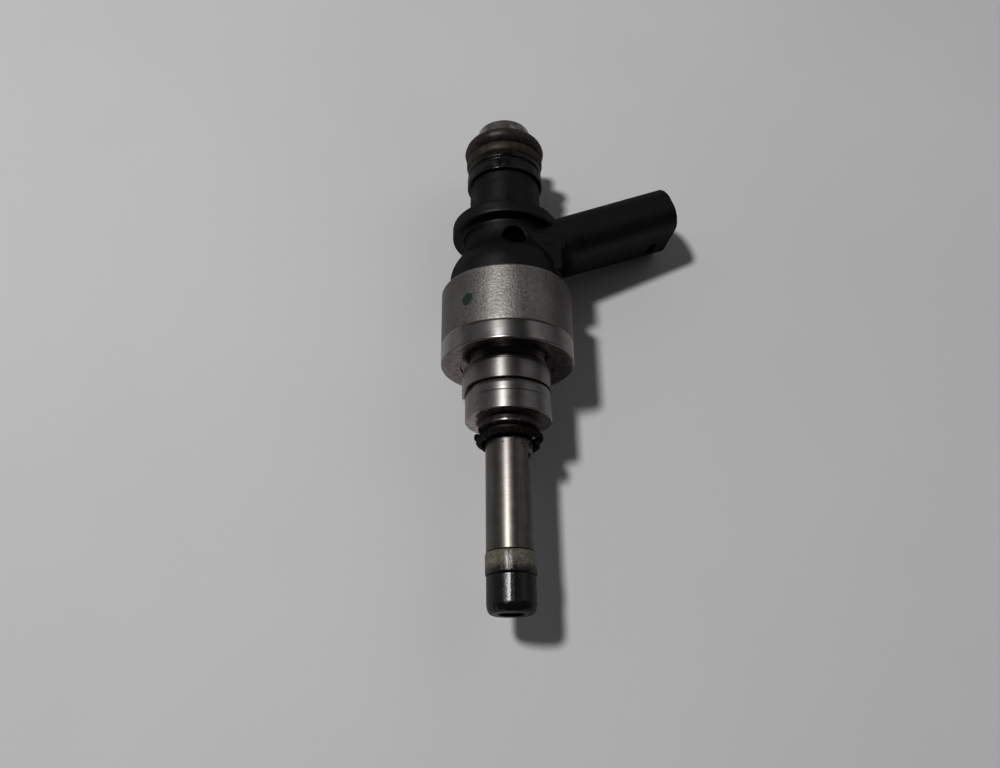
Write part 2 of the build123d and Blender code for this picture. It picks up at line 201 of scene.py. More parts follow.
def lathe(outline, steps=STEPS, wobble=None):
    """A turned bmesh about the Y axis from a closed outline of (radius, y)."""
    bm = bmesh.new()
    rings = []
    for radius, y in outline:
        count = 1 if radius < 1e-6 else steps
        spots = []
        for i in range(count):
            angle = math.tau * i / steps
            spot = Vector((radius * math.cos(angle), y, radius * math.sin(angle)))
            spots.append(bm.verts.new(spot + wobble(spot) if wobble else spot))
        rings.append(spots)
    for one, two in zip(rings, rings[1:] + rings[:1]):
        for i in range(steps):
            j = (i + 1) % steps
            corners = [one[i % len(one)], one[j % len(one)], two[j % len(two)], two[i % len(two)]]
            corners = list(dict.fromkeys(corners))
            if len(corners) > 2:
                bm.faces.new(corners)
    return bm


def weighted(piece):
    """Lets broad faces keep flat shading beside their small roundings."""
    modifier = piece.modifiers.new("weighted", "WEIGHTED_NORMAL")
    modifier.keep_sharp = True
    modifier.weight = 80
    return piece


def turned(name, corners, wobble=None, steps=STEPS):
    """A turned piece from rounded corners, shaded cleanly."""
    return weighted(finish_mesh(name, lathe(rounded(corners), steps, wobble), sharp=50))


def tube_along(points, radius_at, sides):
    """A closed round tube bmesh through points, with flat ends."""
    bm = bmesh.new()
    rings = []
    up = Vector((0, 1, 0))
    for i, here in enumerate(points):
        ahead = points[min(i + 1, len(points) - 1)] - points[max(i - 1, 0)]
        side = ahead.cross(up).normalized()
        rise = side.cross(ahead).normalized()
        ring = []
        for k in range(sides):
            angle = math.tau * k / sides
            away = side * math.cos(angle) + rise * math.sin(angle)
            ring.append(bm.verts.new(here + away * radius_at(here, away)))
        rings.append(ring)
    for one, two in zip(rings, rings[1:]):
        for k in range(sides):
            bm.faces.new((one[k], one[(k + 1) % sides], two[(k + 1) % sides], two[k]))
    bm.faces.new(rings[0])
    bm.faces.new(rings[-1])
    return bm


def settle(piece, body, slot, *nodes):
    """A finished piece rides its body and stands for its CAD nodes, which are hidden; slot is not used."""
    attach(piece, body)
    if nodes:
        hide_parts(*nodes)


# ---- node material helpers
class Nodes:
    """A node tree under construction. Each method adds a node and gives its output."""

    def __init__(self, tree):
        self.tree = tree
        self.tree.nodes.clear()

    def add(self, kind, operation=None, settings=None, **inputs):
        node = self.tree.nodes.new(kind)
        if operation:
            node.operation = operation
        for key, value in (settings or {}).items():
            setattr(node, key, value)
        for key, value in inputs.items():
            self.link(node.inputs[key.replace("_", " ")], value)
        return node

    def link(self, socket, value):
        if isinstance(value, bpy.types.NodeSocket):
            self.tree.links.new(value, socket)
        elif isinstance(value, (tuple, list)) and socket.type == "RGBA" and len(value) == 3:
            socket.default_value = (*value, 1)
        else:
            socket.default_value = value

    def vector(self, operation, first, second=None, scale=None):
        node = self.add("ShaderNodeVectorMath", operation)
        self.link(node.inputs[0], first)
        if second is not None:
            self.link(node.inputs[1], second)
        if scale is not None:
            self.link(node.inputs["Scale"], scale)
        return node.outputs[0]

    def sum(self, operation, first, second=0.0, third=0.0):
        node = self.add("ShaderNodeMath", operation)
        for socket, value in zip(node.inputs, (first, second, third)):
            self.link(socket, value)
        return node.outputs[0]

    def times(self, first, second):
        return self.sum("MULTIPLY", first, second)

    def flip(self, value):
        """Swaps 0 and 1."""
        return self.sum("SUBTRACT", 1.0, value)

    def band(self, value, low, high):
        """0 below low, 1 above high, smooth between."""
        node = self.add("ShaderNodeMapRange", settings={"interpolation_type": "SMOOTHSTEP"})
        self.link(node.inputs["Value"], value)
        self.link(node.inputs["From Min"], low)
        self.link(node.inputs["From Max"], high)
        return node.outputs["Result"]

    def span(self, value, low, high, soft):
        """1 between low and high along a value, fading over soft at both ends."""
        rise = self.band(value, low - soft, low + soft)
        fall = self.band(value, high - soft, high + soft)
        return self.sum("SUBTRACT", rise, fall)

    def range(self, value, low, high):
        """Maps 0..1 to low..high."""
        return self.sum("MULTIPLY_ADD", value, high - low, low)

    def mix(self, share, one, two):
        node = self.add("ShaderNodeMix", settings={"data_type": "RGBA"})
        self.link(node.inputs["Factor"], share)
        self.link(node.inputs["A"], one)
        self.link(node.inputs["B"], two)
        return node.outputs["Result"]

    def blend(self, share, one, two):
        node = self.add("ShaderNodeMix", settings={"data_type": "FLOAT"})
        self.link(node.inputs["Factor"], share)
        self.link(node.inputs["A"], one)
        self.link(node.inputs["B"], two)
        return node.outputs["Result"]


class Shader(Nodes):
    """A node material; place, along, up, right and radius are in millimetres."""

    def __init__(self, name):
        self.material = bpy.data.materials.new(name)
        self.material.use_nodes = True
        super().__init__(self.material.node_tree)
        place = self.add("ShaderNodeTexCoord").outputs["Object"]
        self.place = self.vector("SCALE", place, scale=1 / MM)
        parts = self.add("ShaderNodeSeparateXYZ", Vector=self.place)
        self.along = parts.outputs["Y"]
        self.up = parts.outputs["Z"]
        self.right = parts.outputs["X"]
        flat = self.add("ShaderNodeCombineXYZ", X=self.right, Z=self.up).outputs[0]
        self.radius = self.add("ShaderNodeVectorMath", operation="LENGTH", Vector=flat).outputs["Value"]

    def noise(self, scale, detail=3.0, rough=0.5, stretch=(1, 1, 1), shift=0.0):
        """Noise in cycles per millimetre; stretch above 1 squeezes it along that axis."""
        where = self.vector("MULTIPLY", self.place, stretch)
        if shift:
            where = self.vector("ADD", where, (shift, shift, shift))
        return self.add(
            "ShaderNodeTexNoise", Vector=where, Scale=scale, Detail=detail, Roughness=rough
        ).outputs["Fac"]

    def turning(self, scale, detail=4.0):
        """Fine lines that run round the axis, on cylinders and on flat faces alike."""
        where = self.add("ShaderNodeCombineXYZ", X=self.along, Y=self.radius).outputs[0]
        return self.add(
            "ShaderNodeTexNoise", Vector=where, Scale=scale, Detail=detail, Roughness=0.7
        ).outputs["Fac"]

    def bump(self, height, depth, lean=0.0):
        """Bump whose full height is depth in millimetres; lean turns the normals about the axis."""
        node = self.add("ShaderNodeBump", Height=height, Distance=depth * MM, Strength=1.0)
        if lean:
            normal = self.add("ShaderNodeNewGeometry").outputs["Normal"]
            leaned = self.add(
                "ShaderNodeVectorRotate", settings={"rotation_type": "Y_AXIS"},
                Vector=normal, Angle=-math.radians(lean),
            )
            self.link(node.inputs["Normal"], leaned.outputs["Vector"])
        return node.outputs["Normal"]

    def crease_shade(self, size):
        """1 in creases and where pieces meet within size millimetres, 0 on open faces: ambient occlusion,
        used for painted shade in those places.
        """
        node = self.add("ShaderNodeAmbientOcclusion", settings={"samples": 6}, Distance=size * MM)
        return self.flip(node.outputs["AO"])

    def facing(self):
        """0 where a surface looks at the viewer, 1 where it turns edge-on."""
        return self.add("ShaderNodeLayerWeight", Blend=0.5).outputs["Facing"]

    def normal_y(self):
        """How far a surface looks along the axis: -1 towards the nozzle tip, 1 towards the inlet."""
        normal = self.add("ShaderNodeNewGeometry").outputs["Normal"]
        return self.add("ShaderNodeSeparateXYZ", Vector=normal).outputs["Y"]

    def dulled(self, level):
        """A specular level that fades on edge-on surfaces, as rough dark ones do."""
        return self.range(self.band(self.facing(), 0.15, 0.85), level, 0.08 * level)

    def tangent(self):
        return self.add(
            "ShaderNodeTangent", settings={"direction_type": "RADIAL", "axis": "Y"}
        ).outputs[0]

    def done(self, **inputs):
        surface = self.add("ShaderNodeBsdfPrincipled", **inputs)
        self.add("ShaderNodeOutputMaterial", Surface=surface.outputs["BSDF"])
        return self.material


def dress(piece, material):
    """Gives a piece one material in every slot."""
    piece.data.materials.clear()
    piece.data.materials.append(material)
    return piece


# ---- materials
# Degrees by which the steels' highlights are turned about the axis, away from the lamp
LEAN = 4.0


def satin_case():
    """Bead-blasted nickel-grey steel: broad soft highlight with a coarse grain, and a painted sheen that
    makes it lighter where it faces the viewer.
    """
    s = Shader("satin_case")
    grain = s.noise(2.3, 3, 0.65)
    fine = s.noise(6.0, 3, 0.7, shift=5)
    cloud = s.noise(0.16, 4, 0.6)
    smear = s.noise(0.5, 3, 0.6, stretch=(1, 0.25, 1), shift=7)
    # Painted sheen and shade: the colour is lighter where the case faces the viewer and darker where it
    # turns edge-on.
    facing = s.facing()
    facing_sheen = s.mix(s.band(facing, 0.0, 0.14), (0.66, 0.645, 0.625), (0.32, 0.31, 0.295))
    tone = s.mix(s.band(facing, 0.12, 0.6), facing_sheen, (0.182, 0.174, 0.162))
    tone = s.vector("SCALE", tone, scale=s.range(s.band(cloud, 0.35, 0.65), 0.92, 1.08))
    tone = s.mix(s.times(s.band(smear, 0.5, 0.8), 0.3), tone, (0.12, 0.105, 0.085))
    tone = s.mix(s.band(grain, 0.32, 0.68), s.vector("SCALE", tone, scale=0.7), tone)
    low, high, _ = reach("magnet_case")
    # Both ends of the case are smoother, and their lighter colour paints a highlight line along the
    # roundings.
    edge = s.flip(s.span(s.along, low + 0.3, high - 0.2, 0.1))
    tone = s.mix(s.times(edge, 0.7), tone, (0.40, 0.39, 0.37))
    rough = s.blend(edge, s.range(s.band(grain, 0.25, 0.75), 0.42, 0.51), 0.34)
    height = s.times(s.sum("MULTIPLY_ADD", fine, 0.25, grain), s.flip(edge))
    return s.done(Base_Color=tone, Metallic=1.0, Roughness=rough, Normal=s.bump(height, 0.05, LEAN))


def turned_steel():
    """Turned steel: bright flange with a painted sheen, scratched rings, smooth end faces, a boss partly
    blackened by heat with painted shade on its sides, and painted shade in creases.
    """
    s = Shader("turned_steel")
    lines = s.turning(6.5)
    broad = s.turning(1.1, 2)
    stain = s.noise(0.4, 4, 0.65)
    speck = s.noise(2.6, 3, 0.6, shift=3)
    patchy = s.noise(0.9, 3, 0.5, shift=31)
    flange = s.span(s.along, -0.2, FLANGE_H, 0.1)
    ends = s.band(s.times(s.normal_y(), -1.0), 0.75, 0.95)
    tone = s.mix(s.band(stain, 0.42, 0.7), (0.235, 0.228, 0.222), (0.185, 0.175, 0.162))
    tone = s.mix(s.times(s.band(lines, 0.5, 0.8), 0.35), tone, (0.125, 0.118, 0.110))
    tone = s.mix(s.times(s.band(speck, 0.7, 0.76), 0.5), tone, (0.06, 0.045, 0.03))
    # Painted sheen: the flange is lighter where it faces the viewer.
    facing_sheen = s.times(flange, s.flip(s.band(s.facing(), 0.02, 0.3)))
    tone = s.vector("SCALE", tone, scale=s.range(facing_sheen, 1.0, 1.4))
    face = s.mix(s.band(patchy, 0.4, 0.6), (0.15, 0.14, 0.135), (0.11, 0.085, 0.075))
    face = s.vector("SCALE", face, scale=s.range(s.band(s.along, -3.0, -2.0), 3.0, 1.7))
    tone = s.mix(ends, tone, face)
    inner = s.flip(s.band(s.radius, BOSS_R + 0.1, BOSS_R + 0.5))
    ragged = s.sum("MULTIPLY_ADD", s.noise(1.3, 4, 0.6, shift=17), 0.5, s.along)
    bare = s.span(ragged, REGISTER_LOW - 1.6, REGISTER_LOW - 0.8, 0.12)
    burnt_and_side_shade = s.times(inner, s.flip(bare))
    # Painted shade: away from a strip near x = -0.4 mm, the boss below the register is blackened on both
    # sides.
    sides = s.times(inner, s.band(s.sum("ABSOLUTE", s.sum("ADD", s.right, 0.4)), 1.6, 2.4))
    below = s.flip(s.band(s.along, REGISTER_LOW + 0.1, REGISTER_LOW + 0.3))
    burnt_and_side_shade = s.sum("MAXIMUM", burnt_and_side_shade, s.times(sides, below))
    # Painted shade mixed with stains: creases and meeting places are darkened, less on the end faces,
    # together with the heat-blackened boss.
    dirt_and_shade = s.band(s.sum("ADD", s.crease_shade(0.6), s.times(stain, 0.3)), 0.65, 1.0)
    dirt_and_shade = s.times(dirt_and_shade, s.range(ends, 1.0, 0.4))
    dirt_and_shade = s.sum("MAXIMUM", dirt_and_shade, s.times(burnt_and_side_shade, 0.96))
    tone = s.mix(dirt_and_shade, tone, s.mix(s.band(patchy, 0.45, 0.6), (0.014, 0.011, 0.012), (0.040, 0.026, 0.021)))
    plain = s.blend(flange, s.range(broad, 0.34, 0.40), s.range(broad, 0.24, 0.34))
    plain = s.blend(ends, plain, s.range(patchy, 0.16, 0.26))
    rough = s.blend(dirt_and_shade, plain, s.range(patchy, 0.4, 0.62))
    metal = s.range(dirt_and_shade, 1.0, 0.0)
    return s.done(
        Base_Color=tone, Metallic=metal, Roughness=rough, Normal=s.bump(lines, 0.006, LEAN),
        Anisotropic=0.35, Anisotropic_Rotation=0.25, Tangent=s.tangent(), Specular_IOR_Level=0.3,
    )


def nozzle_steel():
    """Satin shaft browned by heat, with a black glossy carbon coat below the seal."""
    s = Shader("nozzle_steel")
    seal_low, _, _ = reach("combustion_seal")
    streak = s.noise(1.3, 4, 0.6, stretch=(1, 0.08, 1))
    cloud = s.noise(0.35, 4, 0.65, shift=11)
    lines = s.turning(5.0)
    tone = s.mix(s.band(cloud, 0.35, 0.68), (0.138, 0.127, 0.114), (0.172, 0.164, 0.155))
    tone = s.mix(s.times(s.band(streak, 0.5, 0.75), 0.45), tone, (0.09, 0.077, 0.064))
    spots = s.band(s.noise(1.9, 4, 0.65, shift=5), 0.69, 0.74)
    tone = s.mix(s.times(spots, 0.6), tone, (0.03, 0.024, 0.018))
    facing = s.facing()
    shade = s.times(s.band(facing, 0.45, 0.95), s.band(s.right, 0.0, 3.0))
    tone = s.mix(s.times(shade, 0.6), tone, (0.04, 0.032, 0.026))
    ragged = s.sum("MULTIPLY_ADD", s.noise(1.6, 4, 0.6, shift=2), 0.6, s.along)
    coat = s.flip(s.band(ragged, seal_low + 0.2, seal_low + 0.6))
    soot = s.noise(2.2, 5, 0.7, shift=9)
    black = s.mix(s.band(soot, 0.45, 0.75), (0.004, 0.004, 0.005), (0.020, 0.018, 0.017))
    worn = s.band(s.noise(0.9, 5, 0.7, shift=21), 0.62, 0.72)
    black = s.mix(s.times(worn, 0.35), black, (0.05, 0.044, 0.038))
    wire_low, _, _ = reach("wire_snap_ring")
    root = s.band(s.along, wire_low + 0.4, wire_low + 0.8)
    # Painted shade in creases, together with the dark deposit where the shaft meets the wire ring.
    dirt_and_shade = s.sum("MAXIMUM", s.band(s.crease_shade(0.6), 0.6, 0.95), root)
    tone = s.mix(dirt_and_shade, tone, (0.014, 0.011, 0.009))
    tone = s.mix(coat, tone, black)
    rough = s.sum("MULTIPLY_ADD", root, 0.3, s.range(cloud, 0.33, 0.41))
    rough = s.blend(coat, rough, s.range(soot, 0.20, 0.32))
    metal = s.flip(s.sum("MAXIMUM", coat, s.times(dirt_and_shade, 0.8)))
    height = s.blend(coat, s.times(lines, 0.25), soot)
    return s.done(
        Base_Color=tone, Metallic=metal, Roughness=rough, Normal=s.bump(height, 0.03, LEAN),
        Anisotropic=0.1, Tangent=s.tangent(), Specular_IOR_Level=s.dulled(0.62),
    )


def stained_seal():
    """Satin PTFE, mottled tan-grey, brown towards its lower edge and black along it."""
    s = Shader("stained_seal")
    low, high, _ = reach("combustion_seal")
    height = high - low
    mottle = s.noise(1.4, 5, 0.7)
    fine = s.noise(5.0, 4, 0.7, shift=4)
    tone = s.mix(s.band(mottle, 0.35, 0.65), (0.105, 0.098, 0.072), (0.205, 0.198, 0.155))
    tone = s.mix(s.times(s.band(fine, 0.5, 0.72), 0.5), tone, (0.055, 0.046, 0.032))
    ochre = s.band(s.noise(2.4, 3, 0.6, shift=13), 0.62, 0.72)
    tone = s.mix(s.times(ochre, 0.5), tone, (0.16, 0.12, 0.045))
    ragged = s.sum("MULTIPLY_ADD", s.sum("SUBTRACT", mottle, 0.5), 1.9, s.along)
    brown = s.flip(s.band(ragged, low + 0.14 * height, low + 0.55 * height))
    tone = s.mix(brown, tone, (0.026, 0.015, 0.010))
    black = s.flip(s.band(ragged, low + 0.02 * height, low + 0.22 * height))
    tone = s.mix(black, tone, (0.004, 0.003, 0.003))
    soot_and_shade = s.band(ragged, high - 0.5, high + 0.2)
    tone = s.mix(s.times(soot_and_shade, 0.5), tone, (0.05, 0.04, 0.03))
    return s.done(
        Base_Color=tone, Roughness=s.range(fine, 0.19, 0.31), Normal=s.bump(fine, 0.03, LEAN),
        Specular_IOR_Level=s.dulled(0.85),
    )


def oily_crust():
    """Burnt brown-black oil on wire: lumpy, part matt and part wet."""
    s = Shader("oily_crust")
    lump = s.noise(2.4, 6, 0.7)
    wet = s.noise(1.1, 3, 0.5, shift=6)
    tone = s.mix(s.band(lump, 0.4, 0.7), (0.005, 0.0038, 0.0034), (0.026, 0.016, 0.011))
    bare = s.band(s.noise(3.3, 4, 0.6, shift=12), 0.58, 0.68)
    tone = s.mix(s.times(bare, 0.6), tone, (0.085, 0.060, 0.042))
    _, ring_top, _ = reach("wire_snap_ring")
    dry = s.band(s.along, ring_top - 1.9, ring_top - 1.6)
    rough = s.blend(dry, s.range(s.band(wet, 0.4, 0.6), 0.3, 0.62), 0.7)
    shine = s.times(s.dulled(0.32), s.range(dry, 1.0, 0.3))
    return s.done(
        Base_Color=tone, Roughness=rough, Normal=s.bump(lump, 0.16), Specular_IOR_Level=shine,
    )


def moulded_black():
    """Black glass-filled plastic: satin, faintly pebbled, with a dusty bloom."""
    s = Shader("moulded_black")
    pebble = s.noise(7.0, 3, 0.6)
    bloom = s.noise(0.28, 5, 0.65, shift=8)
    fibre = s.noise(3.0, 4, 0.7, stretch=(0.35, 1, 1), shift=3)
    tone = s.mix(s.band(bloom, 0.4, 0.75), (0.0027, 0.0024, 0.0042), (0.0054, 0.0049, 0.0072))
    tone = s.mix(s.times(s.band(fibre, 0.62, 0.78), 0.3), tone, (0.014, 0.0135, 0.0150))
    grease = s.band(s.noise(0.35, 4, 0.6, shift=15), 0.52, 0.7)
    rough = s.blend(grease, s.range(pebble, 0.42, 0.54), 0.33)
    # Painted sheen: the slope and barrel are lighter, away from the connector. Painted shade darkens the
    # pocket and the connector beside the block.
    slope_sheen = s.span(s.along, SHOULDER_TOP + 0.8, COLLAR_LOW - 0.9, 1.0)
    slope_sheen = s.times(slope_sheen, s.flip(s.band(s.right, 5.0, 8.0)))
    tone = s.mix(s.times(slope_sheen, 0.6), tone, (0.0110, 0.0105, 0.0125))
    # Painted shade inside the pocket.
    inside = s.flip(s.band(s.radius, BARREL_R - 0.6, BARREL_R - 0.2))
    pocket_shade_r = POCKET_R + 0.3
    pocket = s.times(inside, s.span(s.along, POCKET_Y - pocket_shade_r, POCKET_Y + pocket_shade_r, 0.2))
    # Painted shadow of the block on the connector beside it.
    from_block = s.sum("SUBTRACT", s.right, BLOCK_OUT)
    beside = s.sum("SUBTRACT", s.band(from_block, -0.1, 0.3), s.band(from_block, 3.25, 4.45))
    beside = s.times(beside, s.flip(s.band(s.along, BLOCK_TOP - 3.2, BLOCK_TOP - 2.4)))
    soot_and_shade = s.sum("MAXIMUM", pocket, s.times(beside, 0.9))
    tone = s.mix(soot_and_shade, tone, (0.0015, 0.0015, 0.0018))
    shine = s.times(s.dulled(0.40), s.range(soot_and_shade, 1.0, 0.06))
    return s.done(
        Base_Color=tone, Roughness=rough, Normal=s.bump(pebble, 0.012), Specular_IOR_Level=shine,
    )


def oily_rubber():
    """Dark reddish-brown rubber with a film of old fuel."""
    s = Shader("oily_rubber")
    film = s.noise(0.9, 5, 0.65)
    fine = s.noise(6.0, 3, 0.6, shift=2)
    tone = s.mix(s.band(film, 0.35, 0.7), (0.028, 0.019, 0.019), (0.055, 0.040, 0.038))
    return s.done(
        Base_Color=tone, Roughness=s.range(s.band(film, 0.3, 0.7), 0.36, 0.52),
        Normal=s.bump(fine, 0.012), Specular_IOR_Level=s.dulled(0.45),
    )


def tan_ring():
    """Backup ring: tan-brown plastic soaked and stained by fuel."""
    s = Shader("tan_ring")
    stain = s.noise(0.7, 5, 0.65)
    tone = s.mix(s.band(stain, 0.35, 0.68), (0.024, 0.017, 0.012), (0.066, 0.049, 0.034))
    fine = s.noise(5.0, 3, 0.6, shift=2)
    # Painted shade: creases and meeting places are darkened.
    dirt_and_shade = s.band(s.crease_shade(0.5), 0.45, 0.9)
    tone = s.mix(dirt_and_shade, tone, (0.010, 0.006, 0.005))
    return s.done(
        Base_Color=tone, Roughness=s.range(stain, 0.42, 0.6), Normal=s.bump(fine, 0.012),
        Specular_IOR_Level=s.dulled(0.4),
    )


def wet_spacer():
    """Black plastic ring, wet with fuel in places."""
    s = Shader("wet_spacer")
    wet = s.noise(0.8, 4, 0.6)
    fine = s.noise(5.0, 4, 0.6, shift=2)
    tone = s.mix(s.band(wet, 0.35, 0.7), (0.0045, 0.0045, 0.004), (0.012, 0.011, 0.009))
    return s.done(
        Base_Color=tone, Roughness=s.range(s.band(wet, 0.35, 0.65), 0.16, 0.45),
        Normal=s.bump(fine, 0.02), Specular_IOR_Level=s.dulled(0.45),
    )


def bright_steel(name="bright_steel", tint=(0.56, 0.56, 0.57), rough=0.24):
    """Ground steel of the hidden valve pieces."""
    s = Shader(name)
    lines = s.turning(7.0)
    cloud = s.noise(0.6, 3, 0.5)
    tone = s.mix(s.band(cloud, 0.3, 0.7), tint, [0.82 * c for c in tint])
    return s.done(
        Base_Color=tone, Metallic=1.0, Roughness=s.range(lines, rough, rough + 0.14),
        Normal=s.bump(lines, 0.004),
    )


def inlet_steel():
    """Greyed steel of the inlet rim and fuel bore, smeared with old fuel."""
    s = Shader("inlet_steel")
    lines = s.turning(5.0)
    smear = s.noise(0.7, 4, 0.6)
    tone = s.mix(s.band(smear, 0.42, 0.7), (0.42, 0.41, 0.39), (0.17, 0.14, 0.115))
    # Painted shade: creases and meeting places are darkened and made less metallic.
    dirt_and_shade = s.band(s.crease_shade(0.6), 0.6, 0.95)
    tone = s.mix(dirt_and_shade, tone, (0.02, 0.014, 0.012))
    return s.done(
        Base_Color=tone, Metallic=s.range(dirt_and_shade, 1.0, 0.4), Roughness=s.range(smear, 0.22, 0.4),
        Normal=s.bump(lines, 0.006),
    )


def brown_bobbin():
    """Dark moulded plastic of the coil spool."""
    s = Shader("brown_bobbin")
    fine = s.noise(4.0, 4, 0.6)
    tone = s.mix(fine, (0.05, 0.045, 0.04), (0.12, 0.11, 0.1))
    return s.done(Base_Color=tone, Roughness=s.range(fine, 0.4, 0.6), Normal=s.bump(fine, 0.01))


def copper_turns():
    """Enamelled copper: the wire turns show as ridges round the axis."""
    s = Shader("copper_turns")
    pitch = 0.25
    ridge = s.sum("ABSOLUTE", s.sum("SINE", s.times(s.along, math.pi / pitch)))
    patch = s.noise(0.8, 3, 0.5)
    tone = s.mix(patch, (0.42, 0.15, 0.05), (0.62, 0.26, 0.10))
    return s.done(
        Base_Color=tone, Metallic=0.9, Roughness=0.28, Normal=s.bump(ridge, 0.1), Coat_Weight=0.4,
    )


def tinned_blade():
    """Tin-plated terminal strip with light scratches along it."""
    s = Shader("tinned_blade")
    scratch = s.noise(4.0, 4, 0.7, stretch=(0.1, 1, 1))
    tone = s.mix(s.band(scratch, 0.4, 0.75), (0.62, 0.61, 0.58), (0.45, 0.43, 0.39))
    return s.done(
        Base_Color=tone, Metallic=1.0, Roughness=s.range(scratch, 0.18, 0.36),
        Normal=s.bump(scratch, 0.005),
    )


def filter_brass():
    """Pressed brass dulled by fuel."""
    s = Shader("filter_brass")
    cloud = s.noise(1.0, 4, 0.6)
    tone = s.mix(cloud, (0.55, 0.40, 0.16), (0.30, 0.20, 0.08))
    return s.done(
        Base_Color=tone, Metallic=1.0, Roughness=s.range(cloud, 0.22, 0.42), Normal=s.bump(cloud, 0.01),
    )


def filter_gauze():
    """Steel gauze: two crossed sets of fine wires."""
    s = Shader("filter_gauze")
    turn = s.sum("ARCTAN2", s.up, s.right)
    wires, pitch = 80, 0.16
    warp = s.sum("ABSOLUTE", s.sum("SINE", s.times(turn, wires / 2)))
    weft = s.sum("ABSOLUTE", s.sum("SINE", s.times(s.along, math.pi / pitch)))
    weave = s.sum("MAXIMUM", warp, weft)
    tone = s.mix(s.band(weave, 0.6, 0.95), (0.03, 0.03, 0.03), (0.5, 0.5, 0.5))
    return s.done(Base_Color=tone, Metallic=0.9, Roughness=0.35, Normal=s.bump(weave, 0.06))


def green_paint():
    """A dab of dark green inspection paint."""
    s = Shader("green_paint")
    thin = s.noise(2.0, 4, 0.65)
    tone = s.mix(s.band(thin, 0.35, 0.7), (0.004, 0.024, 0.016), (0.014, 0.052, 0.034))
    return s.done(Base_Color=tone, Roughness=s.range(thin, 0.35, 0.6), Normal=s.bump(thin, 0.03))


def pale_table():
    """Plain pale grey table top with a very fine mottle."""
    s = Shader("pale_table")
    fine = s.noise(0.6, 4, 0.6)
    broad = s.noise(0.012, 3, 0.5)
    tone = s.mix(s.band(broad, 0.3, 0.7), (0.735, 0.735, 0.745), (0.765, 0.765, 0.775))
    tone = s.mix(s.times(fine, 0.12), tone, (0.66, 0.66, 0.67))
    return s.done(Base_Color=tone, Roughness=0.6, Normal=s.bump(fine, 0.01), Specular_IOR_Level=0.2)


# ---- steel pieces
def make_magnet_case(steel):
    low, high, radius = reach("magnet_case")
    corners = [
        (radius - CASE_WALL, low, 0),
        (radius, low, 0.35),
        (radius, high, 0.22),
        (radius - CASE_WALL, high, 0.2),
    ]
    case = dress(turned("magnet_case_shell", corners), steel)
    settle(case, "housing", "case_steel", "magnet_case")


def make_valve_body(steel):
    low, _, radius = reach("valve_body")
    _, _, shaft = reach("nozzle_body")
    corners = [
        (shaft, low, 0.1),
        (BOSS_R, low, 0.25),
        (BOSS_R, REGISTER_LOW, 0.25),
        (REGISTER_R, REGISTER_LOW, 0.2),
        (REGISTER_R, MARK_GROOVE - 0.1, 0.03),
        (REGISTER_R - 0.05, MARK_GROOVE, 0.03),
        (REGISTER_R, MARK_GROOVE + 0.1, 0.03),
        (REGISTER_R, REGISTER_CONE, 0.1),
        (REGISTER_TOP_R, REGISTER_TOP, 0.2),
        (WAIST_R, REGISTER_TOP, 0.2),
        (WAIST_R, RELIEF_DEPTH, 0.1),
        (RELIEF_R, RELIEF_DEPTH, 0.1),
        (RELIEF_R, 0, 0.08),
        (radius, 0, 0.3),
        (radius, FLANGE_H, 0.12),
        (SLEEVE_R, FLANGE_H, 0.1),
        (SLEEVE_R, SLEEVE_TOP, 0),
        (CHAMBER_R, SLEEVE_TOP, 0),
        (CHAMBER_R, CHAMBER_LOW, 0),
        (NOZZLE_BORE_R, CHAMBER_LOW, 0),
        (NOZZLE_BORE_R, NOZZLE_SEAT, 0),
        (shaft, NOZZLE_SEAT, 0),
    ]
    body = dress(turned("valve_body_turned", corners), steel)
    settle(body, "housing", "turned_steel", "valve_body")


def make_nozzle(steel):
    low, high, radius = reach("nozzle_body")
    seal_low, seal_high, _ = reach("combustion_seal")
    groove_low, groove_high = seal_low - SEAL_PLAY, seal_high + SEAL_PLAY
    corners = [
        (NOZZLE_BORE_R, low, 0.05),
        (radius - 0.6, low, 0.15),
        (radius - 0.22, low + 0.36, 0.3),
        (radius, low + 1.25, 0.25),
        (radius, groove_low, 0.1),
        (SEAL_GROOVE_R, groove_low, 0.05),
        (SEAL_GROOVE_R, groove_high, 0.05),
        (radius, groove_high, 0.12),
        (radius, high, 0.2),
        (NOZZLE_BORE_R, high, 0),
    ]

    def deposit(spot):
        """Carbon build-up that leaves the tip slightly uneven."""
        if spot.y > seal_low - 0.3 or spot.xz.length < 3:
            return Vector()
        lump = noise.fractal(spot * 1.4, 0.8, 2.2, 4)
        return Vector((spot.x, 0, spot.z)).normalized() * (0.05 * lump)

    nozzle = dress(turned("nozzle_shaft", corners, wobble=deposit), steel)
    settle(nozzle, "housing", "nozzle_steel", "nozzle_body")


